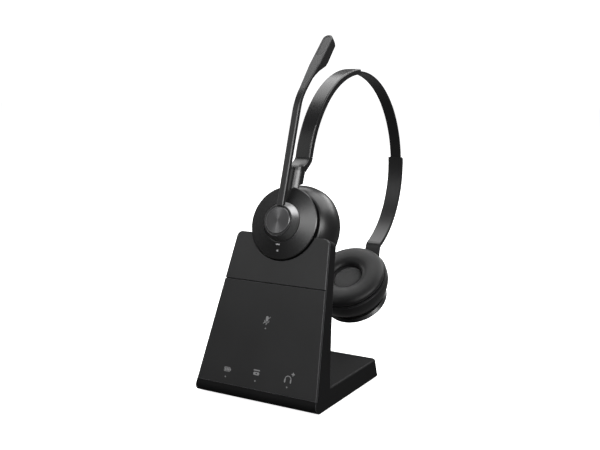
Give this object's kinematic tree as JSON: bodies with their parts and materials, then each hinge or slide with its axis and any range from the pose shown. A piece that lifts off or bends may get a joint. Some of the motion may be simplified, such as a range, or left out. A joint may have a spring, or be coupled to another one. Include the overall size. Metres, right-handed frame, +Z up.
{
  "type": "office headset",
  "caption": "On-ear headset with a turning boom microphone and a sliding headband, docked by one cup in the notch of an L-shaped desk charging stand.",
  "frame": {"origin": "centre of the stand's footprint, on the desk, at the underside of its rubber pad", "axes": "+Z up; +X to the right of someone facing the stand's front; -Y towards them, so the plate faces -Y and the headband reaches back over +Y"},
  "size_m": [0.0998, 0.2366, 0.2553],
  "materials": {
    "shell_black": "fine satin texture",
    "fascia_black": "satin",
    "panel_black": "semi-gloss, smooth",
    "print_grey": "screen print",
    "disc_black": "satin",
    "puck_black": "satin",
    "hub_grey": "spun, dark",
    "cap_dark": "radially brushed, dark",
    "trim_bright": "polished",
    "boom_black": "satin",
    "sleeve_black": "satin",
    "liner_black": "matt",
    "strip_steel": "blackened spring steel",
    "cushion_leather": "soft leatherette",
    "ear_cloth": "fine knit over thin foam",
    "pad_rubber": "matt, fine grip",
    "inner_plastic": "as moulded",
    "board_green": "circuit board",
    "contact_gold": "gold plated",
    "steel": "plain",
    "iron": "as cast",
    "lens_smoke": "smoked light guide",
    "cell_foil": "foil pouch"
  },
  "bodies": {
    "stand": {"stand_shell": "shell_black", "upper_fascia": "fascia_black", "touch_panel": "panel_black", "touch_icons": "print_grey", "touch_board": "board_green", "base_plate": "inner_plastic", "rubber_pad": "pad_rubber", "base_screws": "steel", "ballast_weight": "iron", "main_board": "board_green", "radio_antenna": "contact_gold", "io_board": "board_green", "usb_sockets": "steel", "phone_socket": "inner_plastic", "ringer_speaker": "inner_plastic", "contact_block": "inner_plastic"},
    "contact_pins": {"contact_pins": "contact_gold"},
    "left_puck": {"left_puck_shell": "puck_black", "left_baffle": "inner_plastic", "left_driver": "inner_plastic", "left_cushion_ring": "puck_black", "left_ear_cloth": "ear_cloth", "left_cushion": "cushion_leather", "charge_pads": "contact_gold", "left_puck_board": "board_green"},
    "left_pivot": {"left_pivot_cross": "steel"},
    "left_yoke": {"left_disc_cover": "disc_black", "left_disc_back": "puck_black", "left_disc_board": "board_green", "boom_post": "inner_plastic", "boom_washer": "inner_plastic", "switch_board": "board_green", "call_switch": "inner_plastic", "status_lens": "lens_smoke", "left_sleeve": "sleeve_black", "left_sleeve_liner": "liner_black"},
    "call_button": {"call_button": "cap_dark", "button_trim": "trim_bright"},
    "boom": {"boom_arm": "boom_black", "boom_cone": "hub_grey", "mic_panel": "panel_black", "mic_housing": "puck_black", "mic_element": "steel"},
    "strip": {"headband_strip": "strip_steel"},
    "right_yoke": {"right_sleeve": "sleeve_black", "right_sleeve_liner": "liner_black", "right_disc_cover": "disc_black", "right_disc_back": "puck_black", "right_cap": "hub_grey"},
    "right_pivot": {"right_pivot_cross": "steel"},
    "right_puck": {"right_puck_shell": "puck_black", "right_baffle": "inner_plastic", "right_driver": "inner_plastic", "right_cushion_ring": "puck_black", "right_ear_cloth": "ear_cloth", "right_cushion": "cushion_leather", "right_battery": "cell_foil"}
  },
  "joints": [
    {"name": "pin_press", "type": "slide", "parent": "stand", "child": "contact_pins", "axis": [0, 0.3486, 0.9373], "range_m": [-0.0007, 0], "stiffness_N_per_m": 200, "springref_m": 0.0005},
    {"name": "dock_lift", "type": "slide", "parent": "stand", "child": "left_puck", "axis": [0, 0.3486, 0.9373], "range_m": [0, 0.15]},
    {"name": "left_tilt", "type": "hinge", "parent": "left_puck", "child": "left_pivot", "pos_m": [0, -0.00596, 0.12026], "axis": [1, 0, 0], "range_deg": [0, 6]},
    {"name": "left_swivel", "type": "hinge", "parent": "left_pivot", "child": "left_yoke", "pos_m": [0, -0.00596, 0.12026], "axis": [0, 0.3486, 0.9373], "range_deg": [-5, 5]},
    {"name": "call_press", "type": "slide", "parent": "left_yoke", "child": "call_button", "axis": [0, 0.9373, -0.3486], "range_m": [0, 0.0006], "stiffness_N_per_m": 600, "springref_m": -0.0005},
    {"name": "boom_turn", "type": "hinge", "parent": "left_yoke", "child": "boom", "pos_m": [0, -0.01065, 0.12201], "axis": [0, -0.9373, 0.3486], "range_deg": [-135, 135]},
    {"name": "left_extension", "type": "hinge", "parent": "left_yoke", "child": "strip", "pos_m": [0, 0.0995, 0.1446], "axis": [1, 0, 0], "range_deg": [-15, 0]},
    {"name": "right_extension", "type": "hinge", "parent": "strip", "child": "right_yoke", "pos_m": [0, 0.1104, 0.14857], "axis": [1, 0, 0], "range_deg": [-6, 12]},
    {"name": "right_swivel", "type": "hinge", "parent": "right_yoke", "child": "right_pivot", "pos_m": [0, 0.10336, 0.04547], "axis": [0, 0.7934, 0.6088], "range_deg": [-4, 4]},
    {"name": "right_tilt", "type": "hinge", "parent": "right_pivot", "child": "right_puck", "pos_m": [0, 0.10336, 0.04547], "axis": [1, 0, 0], "range_deg": [-6, 0]}
  ]
}
